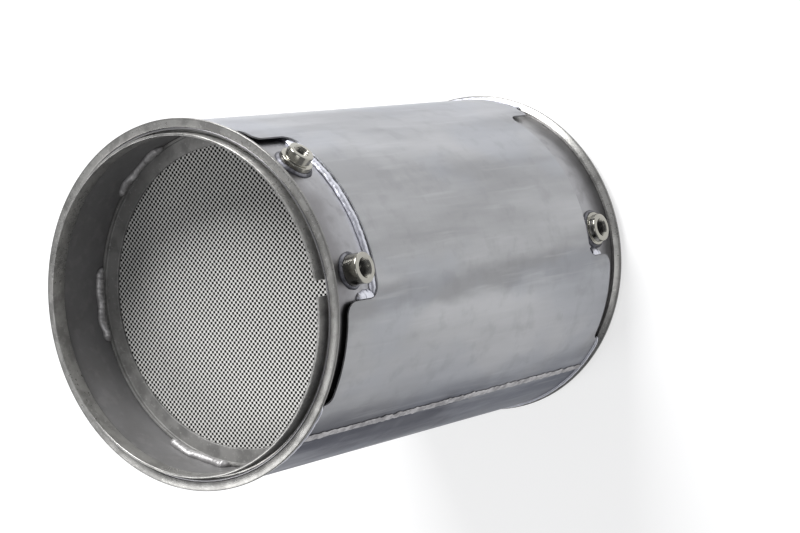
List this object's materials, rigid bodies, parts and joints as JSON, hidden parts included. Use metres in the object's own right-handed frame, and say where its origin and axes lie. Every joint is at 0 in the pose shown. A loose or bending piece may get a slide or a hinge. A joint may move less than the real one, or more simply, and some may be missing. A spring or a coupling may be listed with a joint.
{
  "type": "diesel particulate filter",
  "caption": "Steel exhaust filter canister with a ceramic honeycomb block, clamp flanges, pilot rings and sensor bosses in windows of a rolled heat shield.",
  "frame": {"origin": "on the canister's axis, at the lowest edge of the outlet pilot ring", "axes": "+Z along the gas axis from the outlet end towards the inlet end; +X between the slit's start and the sensor bosses"},
  "size_m": [0.3358, 0.3358, 0.5146],
  "materials": {
    "shield_steel": "rolled stainless sheet with soft cloudy handling marks",
    "can_steel": "darker stainless sheet, heat greyed inside",
    "flange_steel": "turned and rolled steel, slightly warm grey",
    "machined_steel": "bright turned steel with a slight straw tint",
    "weld_metal": "rippled bright weld bead",
    "ceramic": "matt porous grey ceramic",
    "fibre_mat": "off-white needled fibre"
  },
  "bodies": {
    "root": {"filter_block": "ceramic", "filter_can": "can_steel", "inlet_end_pipe": "can_steel", "inlet_flange": "flange_steel", "inlet_joint_weld": "weld_metal", "inlet_pilot_ring": "flange_steel", "inlet_pressure_boss": "machined_steel", "inlet_pressure_boss_weld": "weld_metal", "inlet_retaining_ring": "can_steel", "inlet_sensor_boss": "machined_steel", "inlet_sensor_boss_weld": "weld_metal", "inlet_shield_weld": "weld_metal", "inlet_tack_weld_1": "weld_metal", "inlet_tack_weld_2": "weld_metal", "inlet_tack_weld_3": "weld_metal", "inlet_tack_weld_4": "weld_metal", "inlet_tack_weld_5": "weld_metal", "inlet_tack_weld_6": "weld_metal", "inlet_window_weld": "weld_metal", "insulation_blanket": "fibre_mat", "outer_shield": "shield_steel", "outlet_end_pipe": "can_steel", "outlet_flange": "flange_steel", "outlet_joint_weld": "weld_metal", "outlet_pilot_ring": "flange_steel", "outlet_retaining_ring": "can_steel", "outlet_sensor_boss": "machined_steel", "outlet_sensor_boss_weld": "weld_metal", "outlet_shield_weld": "weld_metal", "outlet_tack_weld_1": "weld_metal", "outlet_tack_weld_2": "weld_metal", "outlet_tack_weld_3": "weld_metal", "outlet_tack_weld_4": "weld_metal", "outlet_tack_weld_5": "weld_metal", "outlet_tack_weld_6": "weld_metal", "outlet_window_weld": "weld_metal", "shield_seam_weld": "weld_metal", "support_mat": "fibre_mat"}
  },
  "joints": []
}
